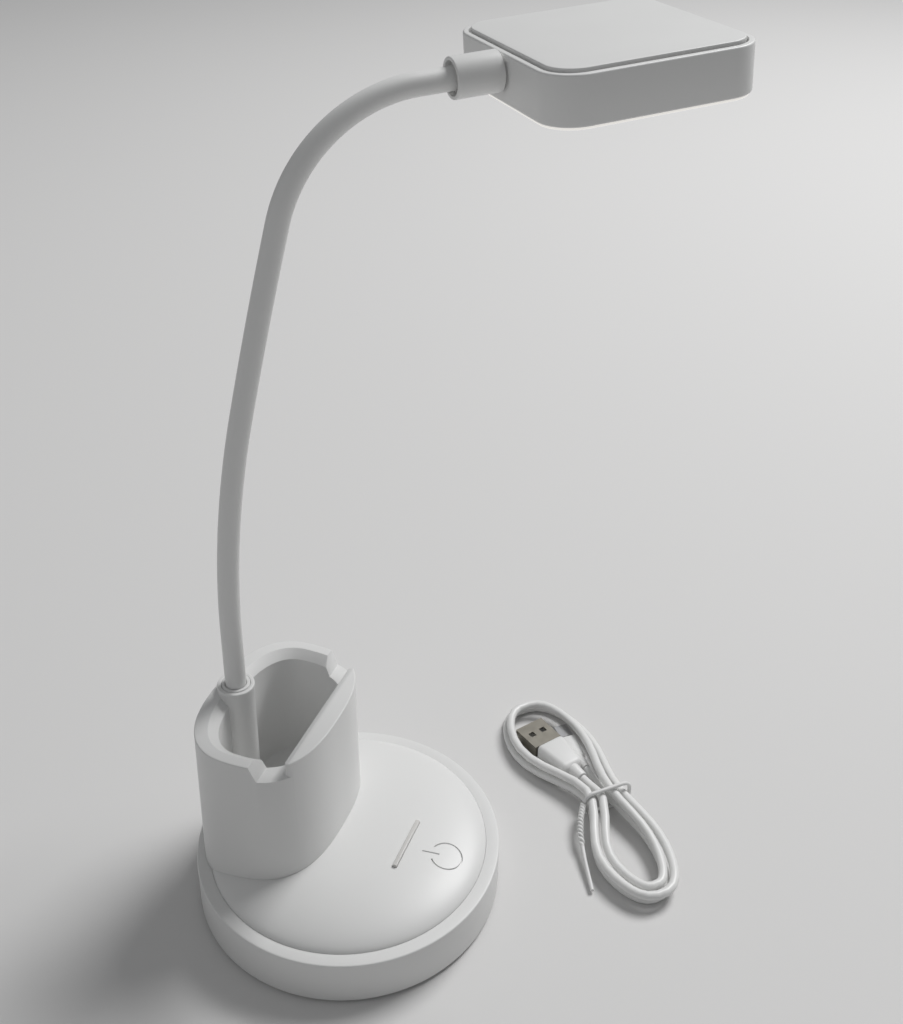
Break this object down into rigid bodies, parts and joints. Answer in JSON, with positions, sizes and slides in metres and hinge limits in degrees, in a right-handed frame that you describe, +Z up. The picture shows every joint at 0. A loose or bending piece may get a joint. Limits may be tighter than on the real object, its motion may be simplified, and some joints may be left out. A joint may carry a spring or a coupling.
{
  "type": "led desk lamp",
  "caption": "Rechargeable desk lamp: round domed base with a touch key, a cup for pens with slots for a phone, a flexible neck, a square flat head, and a tied charging lead beside it.",
  "frame": {"origin": "centre of the base's underside, on the table", "axes": "+Z up, -Y towards the front, where the touch key is; the cup stands towards +Y"},
  "size_m": [0.1753, 0.1555, 0.2696],
  "materials": {
    "shell": "satin white",
    "sleeve": "smooth satin white",
    "steel": "plain",
    "board": "plain",
    "pad": "matt",
    "diffuser": "frosted",
    "cell": "sleeved",
    "cord": "satin white",
    "plug_metal": "dull",
    "insert": "plain"
  },
  "bodies": {
    "base": {"base_housing": "shell", "base_pad": "pad", "bottom_cover": "shell", "cover_screw_1": "steel", "cover_screw_2": "steel", "cover_screw_3": "steel", "cover_screw_4": "steel", "counterweight": "steel", "battery_cell": "cell", "charging_board": "board", "charging_socket": "steel", "top_cover": "shell", "indicator_strip": "diffuser", "control_board": "board", "touch_spring": "steel", "pen_cup": "shell", "cup_screw_1": "steel", "cup_screw_2": "steel", "neck_grommet": "sleeve", "neck_lock_nut": "steel", "neck_sleeve_foot": "sleeve", "neck_core_foot": "steel", "charging_cord": "cord", "plug_grip": "shell", "plug_shell": "plug_metal", "plug_insert": "insert", "connector_grip": "shell", "connector_tip": "steel", "cord_tie": "sleeve"},
    "neck_1": {"neck_sleeve_a": "sleeve", "neck_core_a": "steel"},
    "neck_2": {"neck_sleeve_b": "sleeve", "neck_core_b": "steel"},
    "neck_3": {"neck_sleeve_c": "sleeve", "neck_core_c": "steel"},
    "neck_4": {"neck_sleeve_d": "sleeve", "neck_core_d": "steel"},
    "neck_5": {"neck_sleeve_e": "sleeve", "neck_core_e": "steel"},
    "neck_6": {"neck_sleeve_f": "sleeve", "neck_core_f": "steel"},
    "head": {"neck_sleeve_tip": "sleeve", "neck_core_tip": "steel", "head_collar": "shell", "collar_nut": "steel", "head_housing": "shell", "head_top_plate": "shell", "diffuser": "diffuser", "reflector_frame": "board", "led_board": "board"}
  },
  "joints": [
    {"name": "neck_bend_1", "type": "hinge", "parent": "base", "child": "neck_1", "pos_m": [0, 0.0384, 0.08812], "axis": [0.7108, 0.7034, 0], "range_deg": [-30, 20]},
    {"name": "neck_sway_2", "type": "hinge", "parent": "neck_1", "child": "neck_2", "pos_m": [0.00073, 0.03766, 0.11894], "axis": [0.7012, -0.7086, -0.0785], "range_deg": [-25, 25]},
    {"name": "neck_bend_3", "type": "hinge", "parent": "neck_2", "child": "neck_3", "pos_m": [0.00342, 0.03494, 0.14953], "axis": [0.7108, 0.7034, 0], "range_deg": [-30, 20]},
    {"name": "neck_sway_4", "type": "hinge", "parent": "neck_3", "child": "neck_4", "pos_m": [0.00794, 0.03038, 0.17969], "axis": [0.6846, -0.6918, -0.2299], "range_deg": [-25, 25]},
    {"name": "neck_bend_5", "type": "hinge", "parent": "neck_4", "child": "neck_5", "pos_m": [0.01314, 0.02512, 0.20963], "axis": [0.7108, 0.7034, 0], "range_deg": [-30, 20]},
    {"name": "neck_sway_6", "type": "hinge", "parent": "neck_5", "child": "neck_6", "pos_m": [0.02062, 0.01756, 0.23835], "axis": [0.5718, -0.5778, -0.5825], "range_deg": [-25, 25]},
    {"name": "neck_bend_7", "type": "hinge", "parent": "neck_6", "child": "head", "pos_m": [0.03807, -0.00007, 0.25566], "axis": [0.7108, 0.7034, 0], "range_deg": [-30, 20]}
  ]
}
